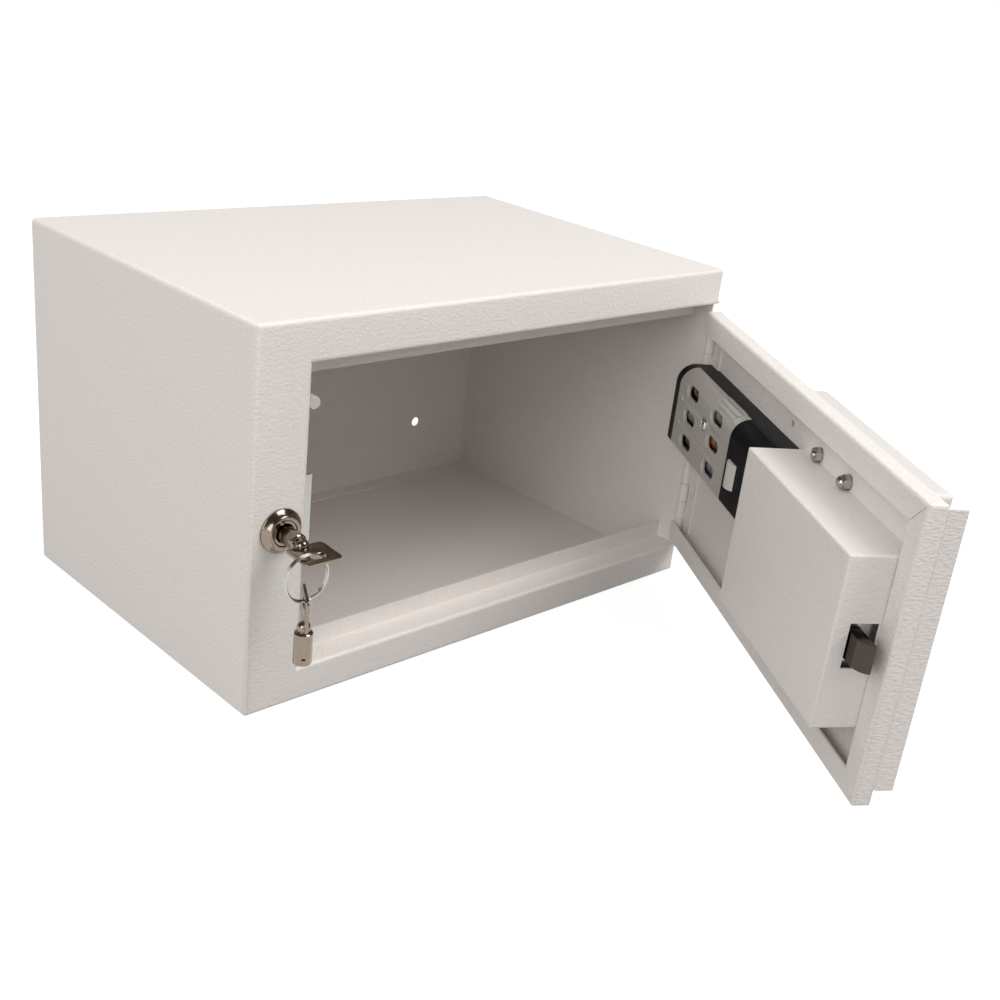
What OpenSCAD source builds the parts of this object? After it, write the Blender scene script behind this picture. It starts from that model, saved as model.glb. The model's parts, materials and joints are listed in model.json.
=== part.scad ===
// Lockable medicine cabinet of folded sheet steel, shown with its door open.
// The door carries a keypad lock outside, and a spring latch under a box cover
// and a battery box inside. A tubular key lock sits on the cabinet's left stile.
// Millimetres, +Z up. The front faces -Y and the origin is under the middle.

/* [Cabinet] */

// outside width of the cabinet
body_w = 335; // [300:1:410]
// outside depth of the cabinet
body_d = 215; // [180:1:260]
// outside height of the cabinet
body_h = 203; // [195:1:250]
// thickness of the folded steel sheet
sheet_t = 1.2; // [0.8:0.1:1.6]
// outside radius of the cabinet's folded edges
bend_r = 2.5; // [2:0.1:4]
// width of the stile left of the opening
stile_w = 31.5; // [29:0.5:45]
// height of the front face above the opening
top_rail = 21.7; // [15:0.1:35]
// height of the front face below the opening
bottom_rail = 19.3; // [15:0.1:35]
// depth of the ledge that turns back from the opening's edge
ledge_d = 16; // [15:0.5:20]
// width of the stop strip behind the ledge
stop_h = 10; // [6:0.5:14]
// radius of the four wall screw holes in the back
wall_hole_r = 3.3; // [2.5:0.1:4.5]
// distance between the wall screw holes across the back
wall_hole_x = 235; // [150:1:280]
// distance between the wall screw holes up the back
wall_hole_z = 120; // [90:1:160]

/* [Door] */

// angle that the door stands open at rest
door_open = 57.1; // [20:0.1:90]
// gap between the door and the edges of the opening
door_gap = 4.3; // [3:0.1:6]
// depth of the door pan, face to flange
pan_d = 10; // [8:0.1:14]
// width of the flange round the inside of the door
flange_w = 13; // [10:0.5:16]
// how far the finger strip stands out of the door's face
pull_d = 9.2; // [6:0.1:14]

/* [Hinge] */

// radius of the piano hinge's barrel
barrel_r = 3.1; // [2.5:0.1:4]
// radius of the hinge pin
pin_r = 1.1; // [0.8:0.05:1.5]
// radial clearance of the pin in the knuckles
pin_gap = 0.05; // [0.02:0.01:0.1]
// thickness of the hinge leaves
leaf_t = 1.0; // [0.8:0.1:1.2]
// width of each hinge leaf
leaf_w = 15; // [12:0.5:15]
// number of knuckles
knuckles = 12; // [8:2:16]

/* [Key lock] */

// height of the key lock's axis
key_z = 100; // [95:1:110]
// distance of the key lock's axis from the cabinet's left side
key_x = 17; // [15:0.5:19]
// radius of the lock's bezel
bezel_r = 11.5; // [10:0.1:12]
// radius of the turning plug
plug_r = 6.6; // [6:0.1:7]
// outside radius of the tubular key's barrel
key_r = 4.6; // [4:0.1:5]
// width of the key's flat bow
bow_w = 21; // [18:0.5:24]
// length of the key's flat bow
bow_l = 18; // [17:0.5:24]
// thickness of the key's flat bow
bow_t = 1.5; // [1.2:0.1:2]
// mean radius of the key ring
ring_r = 11.9; // [11:0.1:14]

/* [Latch] */

// how far the latch bolt draws back
latch_travel = 12; // [10:0.1:13]
// height of the latch bolt, top to bottom
bolt_h = 14; // [10:0.5:16]
// depth of the latch bolt, front to back
bolt_d = 6.5; // [5:0.5:8]
// angle that the knob turns to draw the bolt
knob_turn = 84; // [60:1:90]
// radius of the spindle through the door
spindle_r = 4; // [3:0.1:5]

/* [Battery box] */

// length of the battery box beyond its two cells
pack_extra_l = 48.7; // [46:0.1:60]
// room above and below the rows of cells, with the box's wall
pack_rim_h = 2.15; // [2.1:0.05:4]
// depth of the battery box under the cells
pack_floor_d = 4.85; // [4:0.05:8]
// depth of the lid and its room over the cells
pack_lid_d = 2.75; // [2.5:0.05:4]
// radius of one battery cell
cell_r = 7.25; // [7:0.05:7.3]
// length of one battery cell with its nub
cell_l = 50.5; // [50:0.1:51]

/* [Keypad] */

// width of the keypad housing
pad_w = 144; // [130:1:150]
// height of the keypad housing
pad_h = 123; // [110:1:130]
// how far the keypad housing stands out of the door
pad_d = 18; // [16:0.5:24]
// size of one square key
key_cap = 14; // [12:0.5:15]
// distance between the keys
key_pitch = 18; // [17:0.5:20]
// how far a key can be pressed
key_travel = 1.2; // [0.8:0.1:2]

/* [Hidden] */

$fn = 48;

// hinge axis: at the cabinet's front plane, in line with the fixed leaf
hinge_x = body_w - sheet_t - leaf_t / 2;
overhang = sheet_t + leaf_t / 2;
rim_r = 2;
opening_z0 = bottom_rail;
opening_z1 = body_h - top_rail;

// door: u runs from the hinge axis to the free edge, v from the axis inwards
door_l = hinge_x - stile_w - door_gap;
door_z0 = opening_z0 + door_gap;
door_z1 = opening_z1 - door_gap;
skin_v = -barrel_r - 0.05;
face_v = skin_v - sheet_t;
flange_v = face_v + pan_d;
flange_u = door_l - flange_w;

hinge_z0 = door_z0 + sheet_t + 0.6;
hinge_z1 = door_z1 - sheet_t - 0.6;
pitch = (hinge_z1 - hinge_z0) / knuckles;

// battery box
cell_pitch = 2 * cell_r + 1.1;
pack_l = 2 * cell_l + pack_extra_l;
pack_h = 2 * (cell_pitch + cell_r + pack_rim_h);
pack_d = 2 * cell_r + pack_floor_d + pack_lid_d;
pack_u0 = barrel_r + 0.2;
pack_u1 = pack_u0 + pack_l;
pack_z1 = key_z + 44;
pack_r = 11;
pack_z0 = pack_z1 - pack_h;
pack_v1 = skin_v + pack_d;
lid_v = skin_v + 11;
lid_u0 = pack_u0 + 7.5;
cell_v = skin_v + pack_floor_d + cell_r;
cell_z = pack_z1 - pack_rim_h - cell_r;
cell_u0 = lid_u0 + 2.4;
cell_end = cell_u0 + 2 * cell_l;
lid_u1 = cell_end - 9.8;
lid_t = 1.6;
pack_screw_u = cell_u0 + cell_l - 2.2;
pack_screw_z = cell_z - cell_pitch / 2 - 1.6;
clip_u = lid_u1 + 7.2;
clip_z = key_z + 15;

// latch: the bolt passes just behind the strike plate
cover_u0 = pack_u1 + 1;
cover_u1 = flange_u - 0.5;
cover_z0 = key_z - 42;
cover_z1 = key_z + 46.5;
cover_v1 = skin_v + 31.7;
cover_t = 1;
latch_z = key_z + 2;
strike_y = ledge_d - 3;
bolt_v = strike_y + 0.4;
bolt_mid_v = bolt_v + bolt_d / 2;
bolt_tip = door_l + 1;
bolt_u0 = bolt_tip - 36.8;
case_u0 = bolt_u0 - 66;
case_u1 = cover_u1 - 4;
case_z0 = latch_z - 18;
case_z1 = latch_z + 18;
crank_r = latch_travel / 2 / sin(knob_turn / 2);
crank_pin_r = 2;
knob_u = bolt_u0 - 15;

// key lock
lock_len = strike_y;
bow_y = -18.8;
key_l = -bow_y + 1.2;
// room of the key in its keyway, which lets it sag under the ring
key_play = 0.3;
key_sag = 3;
sag_y = -1.6;
slot_w = 4.6;
slot_half = 2;
slot_rim = 3.7;
ring_wire = 1.25;
ring_side = 0.6;
ring_room = 0.4;
ring_off = 1.4;
// the ring hangs on the strip of the bow between its slot and its side edge
strip_w = bow_w / 2 - slot_half - slot_w / 2;
slot_y = bow_y - bow_l + slot_rim + slot_w / 2 - sag_y;
ring_x = key_x - bow_w / 2 + strip_w / 2 + ring_off;
ring_y = sag_y + slot_y * cos(key_sag);
ring_rise = sqrt(pow(ring_r - ring_wire / 2, 2) - pow(strip_w / 2 + ring_off, 2));
ring_z = key_z + slot_y * sin(key_sag) + bow_t / 2 + ring_room - ring_rise;
spare_turn = 60.7;

// keypad
pad_u1 = door_l - 26;
pad_u0 = pad_u1 - pad_w;
pad_z1 = key_z + 71;
pad_z0 = pad_z1 - pad_h;
pad_v = face_v - pad_d;
pad_t = 2.2;
stud_u0 = pad_u1 - 98.7;
stud_u1 = stud_u0 + 36.2;
stud_z0 = key_z - 30;
stud_z1 = key_z + 50.5;
stud_r = 2;
board_v = face_v - 6.7;
board_t = 1.6;
key_u0 = (stud_u0 + stud_u1) / 2 - key_pitch;
key_row_z = key_z + 36;
cable_u = stud_u0 - 7.8;
cable_z = key_z + 20;
cable_hole_r = 2.2;
spare_hole_u = pack_u1 - 20.3;

module place() {
    translate([-body_w / 2, -body_d / 2, 0]) children();
}

// everything on the door is drawn closed and swung open about the hinge axis
module on_door() {
    place() translate([hinge_x, 0, 0]) rotate([0, 0, door_open]) children();
}

// box between two corners
module span(x0, x1, y0, y1, z0, z1) {
    translate([x0, y0, z0]) cube([x1 - x0, y1 - y0, z1 - z0]);
}

// box on the door, given by u, v and height
module dspan(u0, u1, v0, v1, z0, z1) {
    span(-u1, -u0, v0, v1, z0, z1);
}

// rod along Y
module rod_y(x, z, y0, y1, r) {
    translate([x, y1, z]) rotate([90, 0, 0]) cylinder(r = r, h = y1 - y0);
}

// rod along X
module rod_x(x0, x1, y, z, r) {
    translate([x0, y, z]) rotate([0, 90, 0]) cylinder(r = r, h = x1 - x0);
}

// hexagonal prism along Y, af across the flats
module hex_y(x, z, y0, y1, af) {
    translate([x, y1, z]) rotate([90, 0, 0]) cylinder(r = af / sqrt(3), h = y1 - y0, $fn = 6);
}

// rectangle with round corners
module soft_rect(w, h, r) {
    translate([r, 0]) square([w - 2 * r, h]);
    translate([0, r]) square([w, h - 2 * r]);
    for (x = [r, w - r]) {
        for (y = [r, h - r]) {
            translate([x, y]) circle(r);
        }
    }
}

// block with all its edges rounded, between two corners
module soft_span(x0, x1, y0, y1, z0, z1, r) {
    w = x1 - x0;
    d = y1 - y0;
    h = z1 - z0;
    translate([x0, y0, z0]) intersection() {
        linear_extrude(h) soft_rect(w, d, r);
        translate([0, d, 0]) rotate([90, 0, 0]) linear_extrude(d) soft_rect(w, h, r);
        rotate([90, 0, 90]) linear_extrude(w) soft_rect(d, h, r);
    }
}

// wrap of sheet: top, bottom, sides and front, folded from one blank
module body_shell() {
    t = sheet_t;
    color("whitesmoke") place() difference() {
        soft_span(0, body_w, 0, body_d + 10, 0, body_h, bend_r);
        soft_span(t, body_w - t, t, body_d + 20, t, body_h - t, bend_r - t);
        span(-1, body_w + 1, body_d, body_d + 30, -1, body_h + 1);
        span(stile_w - rim_r, body_w + 1, -1, barrel_r + 0.4, opening_z0, opening_z1);
        span(stile_w - t, body_w + 1, -1, barrel_r + 0.4, opening_z0 - rim_r, opening_z1 + rim_r);
        rod_y(key_x, key_z, -1, t + 1, 9);
    }
}

// section of the opening's rim: bend, ledge and stop strip
module rim_section() {
    t = sheet_t;
    intersection() {
        translate([rim_r, -rim_r]) difference() {
            circle(rim_r);
            circle(rim_r - t);
        }
        translate([0, -rim_r]) square([rim_r, rim_r]);
    }
    translate([rim_r, -t]) square([ledge_d + t - rim_r, t]);
    translate([ledge_d, -t]) square([t, stop_h + t]);
}

module rim_bar(x0, x1) {
    translate([x0, 0, 0]) rotate([90, 0, 90]) linear_extrude(x1 - x0) rim_section();
}

module rim_along_opening() {
    rim_bar(stile_w - sheet_t, body_w - sheet_t);
    intersection() {
        rim_bar(body_w - 2 * sheet_t, body_w);
        span(0, body_w, 0, barrel_r + 0.4, -rim_r, 0);
    }
}

// ledge and stop strips on three sides of the opening
module door_frame() {
    t = sheet_t;
    color("gainsboro") place() difference() {
        union() {
            translate([0, 0, opening_z0]) rim_along_opening();
            translate([0, 0, opening_z1]) mirror([0, 0, 1]) rim_along_opening();
            translate([stile_w, 0, opening_z0]) linear_extrude(opening_z1 - opening_z0) {
                mirror([1, -1]) rim_section();
            }
        }
        // way through for the latch bolt and for the key lock's cam
        span(stile_w - 3, stile_w + stop_h + 1, strike_y + 0.2, ledge_d + 5, key_z - 34, key_z + 24);
        for (z = [latch_z - 14, latch_z + 14]) {
            rod_x(stile_w - 4, stile_w + 1, 6, z, 1.55);
        }
        for (z = [opening_z0 + 22, opening_z1 - 22]) {
            rod_y(stile_w + 6.5, z, ledge_d - 1, ledge_d + 3, 1.5);
        }
    }
}

// back pan: a plate with its flange turned forwards inside the wrap
module back_panel() {
    g = sheet_t + 0.05;
    t = sheet_t;
    color("gainsboro") place() difference() {
        soft_span(g, body_w - g, body_d - 14, body_d + 10, g, body_h - g, 1.2);
        span(g + t, body_w - g - t, body_d - 30, body_d - t, g + t, body_h - g - t);
        span(0, body_w, body_d, body_d + 20, 0, body_h);
        span(0, body_w, body_d - 20, body_d - 12, 0, body_h);
        for (x = [-1, 1]) {
            for (z = [-1, 1]) {
                translate([body_w / 2 + x * wall_hole_x / 2, 0, body_h / 2 + z * wall_hole_z / 2]) {
                    rod_y(0, 0, body_d - 3, body_d + 1, wall_hole_r);
                }
            }
        }
    }
}

// every second knuckle of the piano hinge, starting with the given one
module hinge_knuckles(first) {
    for (i = [first : 2 : knuckles - 1]) {
        translate([0, 0, hinge_z0 + i * pitch + 0.12]) cylinder(r = barrel_r, h = pitch - 0.24);
    }
}

// room round the other leaf's knuckles
module knuckle_relief(first) {
    for (i = [first : 2 : knuckles - 1]) {
        translate([0, 0, hinge_z0 + i * pitch - 0.12]) cylinder(r = barrel_r + 0.3, h = pitch + 0.24);
    }
}

module hinge_bore() {
    translate([0, 0, hinge_z0 - 5]) cylinder(r = pin_r + pin_gap, h = hinge_z1 - hinge_z0 + 10);
}

module hinge_leaf_fixed() {
    color("gainsboro") place() translate([hinge_x, 0, 0]) difference() {
        union() {
            hinge_knuckles(0);
            span(-leaf_t / 2, leaf_t / 2, 0, leaf_w, hinge_z0, hinge_z1);
        }
        knuckle_relief(1);
        hinge_bore();
    }
}

module hinge_leaf_door() {
    color("gainsboro") on_door() difference() {
        union() {
            hinge_knuckles(1);
            dspan(0, leaf_w, -barrel_r, leaf_t - barrel_r, hinge_z0, hinge_z1);
        }
        knuckle_relief(0);
        hinge_bore();
    }
}

module hinge_pin() {
    color("silver") place() translate([hinge_x, 0, hinge_z0 - 0.2]) {
        cylinder(r = pin_r, h = hinge_z1 - hinge_z0 + 0.4);
    }
}

// angle that the latch bolt catches behind
module strike_plate() {
    t = sheet_t;
    color("silver") place() difference() {
        union() {
            span(stile_w, stile_w + t, 2.5, strike_y, case_z0, case_z1);
            span(stile_w, stile_w + 11.5, strike_y - t, strike_y, case_z0, case_z1);
        }
        for (z = [latch_z - 14, latch_z + 14]) {
            rod_x(stile_w - 1, stile_w + 3, 6, z, 1.55);
            translate([stile_w, 6, z]) rotate([0, 90, 0]) cylinder(r1 = 1.55, r2 = 2.85, h = t + 0.02);
        }
    }
}

module strike_screws() {
    color("silver") place() for (z = [latch_z - 14, latch_z + 14]) {
        rod_x(stile_w - 4, stile_w + 0.3, 6, z, 1.5);
        translate([stile_w, 6, z]) rotate([0, 90, 0]) cylinder(r1 = 1.5, r2 = 2.7, h = sheet_t);
    }
}

// rubber buffers that the closed door's flange rests on
module stop_bumpers() {
    color("dimgray") place() for (z = [opening_z0 + 22, opening_z1 - 22]) {
        rod_y(stile_w + 6.5, z, flange_v + 0.2, ledge_d, 3.3);
        rod_y(stile_w + 6.5, z, ledge_d - 0.5, ledge_d + 1.4, 1.45);
    }
}

// lock case: cone-shaped bezel and threaded barrel
module lock_body() {
    color("silver") place() translate([key_x, 0, key_z]) rotate([90, 0, 0]) difference() {
        union() {
            cylinder(r = bezel_r, h = 1.2);
            translate([0, 0, 1.2]) cylinder(r1 = bezel_r, r2 = 8.6, h = 3.6);
            translate([0, 0, -lock_len]) cylinder(r = 8.8, h = lock_len + 1);
        }
        translate([0, 0, -lock_len - 1]) cylinder(r = plug_r + 0.05, h = lock_len + 8);
    }
}

module lock_nut() {
    color("silver") place() difference() {
        hex_y(key_x, key_z, sheet_t, sheet_t + 3.5, 22);
        rod_y(key_x, key_z, 0, 10, 8.85);
    }
}

// turning plug with its ring-shaped keyway
module lock_plug() {
    color("gray") place() translate([key_x, 0, key_z]) rotate([90, 0, 0]) {
        difference() {
            translate([0, 0, -lock_len - 0.3]) cylinder(r = plug_r, h = lock_len + 4.6);
            translate([0, 0, -3.3]) difference() {
                cylinder(r = key_r + key_play, h = 10);
                translate([0, 0, -1]) cylinder(r = key_r - 1.2 - key_play, h = 20);
            }
            translate([-key_r - 1, -1.4, -3.3]) cube([1.4, 2.8, 10]);
            translate([0, 0, -lock_len - 2]) cylinder(r = 1.55, h = 8);
        }
    }
}

// cam behind the stile: turned across, it pushes the latch bolt back
module lock_cam() {
    y0 = lock_len + 0.3;
    color("silver") place() difference() {
        union() {
            rod_y(key_x, key_z, y0, y0 + 2.4, 7);
            span(key_x - 5, key_x + 5, y0, y0 + 2.4, key_z - 27, key_z);
        }
        rod_y(key_x, key_z, y0 - 1, y0 + 4, 1.6);
    }
}

module cam_screw() {
    y0 = lock_len + 2.7;
    color("silver") place() {
        rod_y(key_x, key_z, lock_len - 5, y0 + 0.5, 1.5);
        rod_y(key_x, key_z, y0, y0 + 2, 3.2);
    }
}

// tubular key drawn along Z with its bow's shoulder at the origin
module tubular_key() {
    dome_r = key_r - 1.2;
    neck_r = dome_r - 0.3;
    rotate_extrude() polygon(concat(
        [for (a = [0 : 15 : 90]) [dome_r * sin(a), 0.9 - dome_r * cos(a)]],
        [[dome_r, 1.8], [neck_r, 2.1], [neck_r, 2.9], [key_r - 0.5, 3.1], [key_r, 3.6], [key_r, key_l]],
        [[key_r - 1.2, key_l], [key_r - 1.2, 5], [0, 5]]));
    translate([-key_r - 0.6, -1, key_l - 3.6]) cube([1.1, 2, 2]);
    difference() {
        translate([-bow_w / 2, bow_t / 2, -bow_l]) rotate([90, 0, 0]) {
            linear_extrude(bow_t) soft_rect(bow_w, bow_l, 2.5);
        }
        translate([0, 0, slot_w / 2 + slot_rim - bow_l]) {
            span(-slot_half, slot_half, -2, 2, -slot_w / 2, slot_w / 2);
            for (x = [-slot_half, slot_half]) {
                rod_y(x, 0, -2, 2, slot_w / 2);
            }
        }
    }
}

module lock_key() {
    color("silver") place() translate([key_x, sag_y, key_z]) rotate([key_sag, 0, 0]) {
        translate([0, bow_y - sag_y, 0]) rotate([-90, 0, 0]) tubular_key();
    }
}

// split ring of two turns of round wire, through the slots of both keys
module key_ring() {
    color("silver") place() translate([ring_x, ring_y, ring_z]) {
        rotate([90, 0, 0]) rotate_extrude() translate([ring_r, 0]) {
            for (s = [-ring_side, ring_side]) {
                translate([0, s]) circle(ring_wire / 2);
            }
            translate([-0.3, -0.3]) square([0.6, 0.6]);
        }
    }
}

module spare_key() {
    top = ring_z - ring_r + ring_wire / 2 + ring_room - 0.1 + slot_rim;
    color("silver") place() translate([ring_x, ring_y, top - bow_l]) {
        rotate([180, 0, spare_turn]) tubular_key();
    }
}

// door pan: skin, three side walls and the flange round the inside
module door_pan() {
    t = sheet_t;
    color("whitesmoke") on_door() difference() {
        soft_span(-door_l, overhang + 10, face_v, flange_v, door_z0, door_z1, 2);
        soft_span(t - door_l, overhang + 20, skin_v, flange_v - t, door_z0 + t, door_z1 - t, 0.8);
        span(overhang, overhang + 30, -40, 40, 0, body_h);
        dspan(-30, 1.5, skin_v, 40, 0, body_h);
        dspan(0, flange_u, 0, 40, door_z0 + flange_w, door_z1 - flange_w);
        rod_y(-knob_u, latch_z, -20, 0, spindle_r + 0.6);
        rod_y(-spare_hole_u, key_z + 52.5, -20, 0, 2);
        rod_y(-cable_u, cable_z, -20, 0, cable_hole_r);
        for (u = [stud_u0, stud_u1]) {
            for (z = [stud_z0, stud_z1]) {
                rod_y(-u, z, -20, 0, stud_r + 0.2);
            }
        }
        for (u = [cover_u0 + 20, cover_u1 - 20]) {
            rod_y(-u, cover_z0 - 5, -20, 0, 1.55);
        }
        // mitred joints of the flange at the free edge
        translate([-flange_u, 0, door_z1 - flange_w]) rotate([0, -135, 0]) mitre_gap();
        translate([-flange_u, 0, door_z0 + flange_w]) rotate([0, 135, 0]) mitre_gap();
    }
}

module mitre_gap() {
    span(-1, flange_w * sqrt(2) - 3, flange_v - sheet_t - 0.3, flange_v + 1, -0.15, 0.15);
}

// finger strip: an angle on the door's outer face along the free edge
module pull_strip() {
    t = sheet_t;
    color("whitesmoke") on_door() {
        dspan(door_l - t, door_l, face_v - pull_d, face_v, door_z0 + 8.8, door_z1 - 2);
        dspan(door_l - 14, door_l - t, face_v - t, face_v, door_z0 + 8.8, door_z1 - 2);
    }
}

// box cover over the latch, with a window for the bolt
module lock_cover() {
    t = cover_t;
    color("white") on_door() difference() {
        union() {
            soft_span(-cover_u1, -cover_u0, skin_v - 10, cover_v1, cover_z0, cover_z1, 1.5);
            dspan(cover_u0 + 4, cover_u1 - 4, skin_v, skin_v + t, cover_z0 - 10, cover_z0 + 1);
        }
        dspan(cover_u0 - 5, cover_u1 + 5, skin_v - 20, skin_v, cover_z0 - 5, cover_z1 + 5);
        dspan(cover_u0 + t, cover_u1 - t, skin_v - 20, cover_v1 - t, cover_z0 + t, cover_z1 - t);
        dspan(cover_u1 - 3, cover_u1 + 3, 6.5, bolt_v + bolt_d + 0.7, key_z - 10, key_z + 13);
        rod_x(-cover_u0 - 3, -cover_u0 + 3, 0, cable_z, cable_hole_r);
        for (u = [cover_u0 + 20, cover_u1 - 20]) {
            rod_y(-u, cover_z0 - 5, -20, 0, 1.55);
        }
    }
}

module cover_screws() {
    color("silver") on_door() for (u = [cover_u0 + 20, cover_u1 - 20]) {
        rod_y(-u, cover_z0 - 5, face_v + 0.2, skin_v + cover_t + 1, 1.5);
        rod_y(-u, cover_z0 - 5, skin_v + cover_t, skin_v + cover_t + 2, 2.8);
    }
}

// channel that guides the latch bolt
module latch_case() {
    t = sheet_t;
    v1 = bolt_v + bolt_d + 2.5;
    color("silver") on_door() difference() {
        union() {
            dspan(case_u0, case_u1, skin_v, skin_v + t, case_z0, case_z1);
            dspan(case_u0, case_u1, skin_v, v1, case_z0, case_z0 + t);
            dspan(case_u0, case_u1, skin_v, v1, case_z1 - t, case_z1);
            dspan(case_u0, case_u0 + t, skin_v, v1, case_z0, case_z1);
            dspan(case_u1 - t, case_u1, skin_v, v1, case_z0, case_z1);
        }
        dspan(case_u1 - 5, case_u1 + 5, bolt_v - 0.2, bolt_v + bolt_d + 0.2,
            latch_z - bolt_h / 2 - 0.2, latch_z + bolt_h / 2 + 0.2);
        rod_x(-case_u0 - 5, -case_u0 + 5, bolt_mid_v, latch_z, 2.1);
        rod_y(-knob_u, latch_z, -20, 5, spindle_r + 0.6);
    }
}

// sprung latch bolt: round-backed nose, fork for the crank and a guide rod
module latch_bolt() {
    pin_u = knob_u + crank_r * sin(knob_turn / 2);
    pin_z0 = latch_z + crank_r * cos(knob_turn / 2) - crank_pin_r - 0.86;
    pin_z1 = latch_z + crank_r + crank_pin_r + 1.63;
    nose_r = 9;
    color("dimgray") on_door() {
        intersection() {
            dspan(bolt_u0, bolt_tip, bolt_v, bolt_v + bolt_d, latch_z - bolt_h / 2, latch_z + bolt_h / 2);
            union() {
                dspan(bolt_u0 - 1, bolt_tip - nose_r, bolt_v - 1, bolt_v + 20, 0, body_h);
                translate([nose_r - bolt_tip, bolt_v + bolt_d - nose_r, 0]) cylinder(r = nose_r, h = body_h);
            }
        }
        dspan(bolt_u0 - 32, bolt_u0 + 0.5, bolt_v, bolt_v + 5, latch_z - 3, latch_z + 3);
        difference() {
            dspan(knob_u - 1, bolt_u0 - 2, bolt_v - 2.4, bolt_v + 0.1, latch_z - 3, pin_z1 + 2.4);
            dspan(pin_u - 2.6, pin_u + 2.6, bolt_v - 5, bolt_v + 5, pin_z0, pin_z1);
        }
        rod_x(31.5 - bolt_u0, 70 - bolt_u0, bolt_mid_v, latch_z, 1.9);
    }
}

// spring round the bolt's guide rod
module latch_spring() {
    wire = 0.45;
    coils = 9;
    length = 66 - 32 - sheet_t - 0.2;
    color("silver") on_door() translate([32.1 - bolt_u0, bolt_mid_v, latch_z]) rotate([0, 90, 0]) {
        linear_extrude(length, twist = -360 * coils, slices = coils * 12, $fn = 6) {
            translate([2.9, 0]) circle(wire);
        }
    }
}

// small geared motor that frees the latch when the right number is keyed in
module lock_motor() {
    z = cover_z0 + 14;
    color("silver") on_door() {
        rod_x(-stud_u1 + 9, -stud_u0 - 6, skin_v + 8.7, z, 8.5);
        rod_x(-stud_u1 + 5.6, -stud_u0 - 7, skin_v + 8.7, z, 1.5);
        dspan(stud_u0 + 8, stud_u1 - 11, skin_v, skin_v + 1, z - 8, z + 8);
    }
}

// spindle with the crank that draws the bolt
module knob_spindle() {
    a = knob_turn / 2;
    color("silver") on_door() {
        rod_y(-knob_u, latch_z, pad_v - 12, bolt_v - 4.4, spindle_r);
        rod_y(-knob_u, latch_z, bolt_v - 7, bolt_v - 4.4, crank_r + 3.5);
        rod_y(-knob_u - crank_r * sin(a), latch_z + crank_r * cos(a), bolt_v - 5, bolt_v - 0.2, crank_pin_r);
    }
}

// knob with a grip bar across it
module knob() {
    color("dimgray") on_door() difference() {
        union() {
            rod_y(-knob_u, latch_z, pad_v - 6, pad_v - 0.5, 17);
            intersection() {
                rod_y(-knob_u, latch_z, pad_v - 18, pad_v - 5, 16);
                soft_span(-knob_u - 5, 5 - knob_u, pad_v - 18, pad_v, latch_z - 20, latch_z + 20, 2);
            }
        }
        rod_y(-knob_u, latch_z, pad_v - 12.2, pad_v + 1, spindle_r + 0.01);
    }
}

module keypad_bosses(v0, v1, r) {
    for (u = [stud_u0, stud_u1]) {
        for (z = [stud_z0, stud_z1]) {
            rod_y(-u, z, v0, v1, r);
        }
    }
}

// centre of each key, counted along the rows from the top
module at_key(n) {
    translate([-(key_u0 + key_pitch * (2 - n % 3)), 0, key_row_z - key_pitch * floor(n / 3)]) children();
}

module keypad_housing() {
    hole = key_cap + 0.6;
    color("dimgray") on_door() difference() {
        union() {
            difference() {
                soft_span(-pad_u1, -pad_u0, pad_v, face_v + 10, pad_z0, pad_z1, 4);
                dspan(pad_u0 + pad_t, pad_u1 - pad_t, pad_v + pad_t, face_v + 20,
                    pad_z0 + pad_t, pad_z1 - pad_t);
                dspan(pad_u0 - 1, pad_u1 + 1, face_v, face_v + 20, pad_z0 - 1, pad_z1 + 1);
            }
            keypad_bosses(pad_v + 1, board_v - 0.05, 4);
            rod_y(-knob_u, latch_z, pad_v, face_v - 2, spindle_r + 3);
        }
        keypad_bosses(pad_v + pad_t, face_v, stud_r + 0.05);
        rod_y(-knob_u, latch_z, pad_v - 1, face_v, spindle_r + 0.05);
        rod_y(-(stud_u0 + stud_u1) / 2, key_row_z + 18, pad_v - 1, pad_v + 5, 2.6);
        for (n = [0 : 11]) {
            at_key(n) span(-hole / 2, hole / 2, pad_v - 1, pad_v + pad_t + 1, -hole / 2, hole / 2);
        }
    }
}

module status_lens() {
    color("lime") on_door() translate([-(stud_u0 + stud_u1) / 2, 0, key_row_z + 18]) {
        rod_y(0, 0, pad_v - 0.6, board_v - 0.1, 2.5);
    }
}

// pressed key: cap, hidden flange and the stem over its switch
module pad_key(n) {
    c = key_cap;
    f = c + 2;
    v0 = pad_v + pad_t + 0.2;
    color("gainsboro") on_door() at_key(n) {
        translate([-c / 2, v0 + 0.5, -c / 2]) rotate([90, 0, 0]) {
            linear_extrude(pad_t + 2.7) soft_rect(c, c, 1.5);
        }
        span(-f / 2, f / 2, v0, v0 + 1.2, -f / 2, f / 2);
        rod_y(0, 0, v0 + 1, board_v - key_travel - 0.05, 2);
    }
}

module key_1() { pad_key(0); }
module key_2() { pad_key(1); }
module key_3() { pad_key(2); }
module key_4() { pad_key(3); }
module key_5() { pad_key(4); }
module key_6() { pad_key(5); }
module key_7() { pad_key(6); }
module key_8() { pad_key(7); }
module key_9() { pad_key(8); }
module key_10() { pad_key(9); }
module key_11() { pad_key(10); }
module key_12() { pad_key(11); }

module circuit_board() {
    color("darkgreen") on_door() difference() {
        union() {
            dspan(stud_u0 - 12, stud_u1 + 12, board_v, board_v + board_t, stud_z0 - 6, stud_z1 + 6);
            dspan(stud_u0 + 8, stud_u0 + 22, board_v + board_t, board_v + board_t + 2, key_z - 20, key_z);
        }
        keypad_bosses(board_v - 5, board_v + 5, stud_r + 0.2);
    }
}

module board_spacers() {
    color("silver") on_door() difference() {
        keypad_bosses(board_v + board_t, face_v, 3.5);
        keypad_bosses(board_v, face_v + 1, stud_r + 0.1);
    }
}

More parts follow.
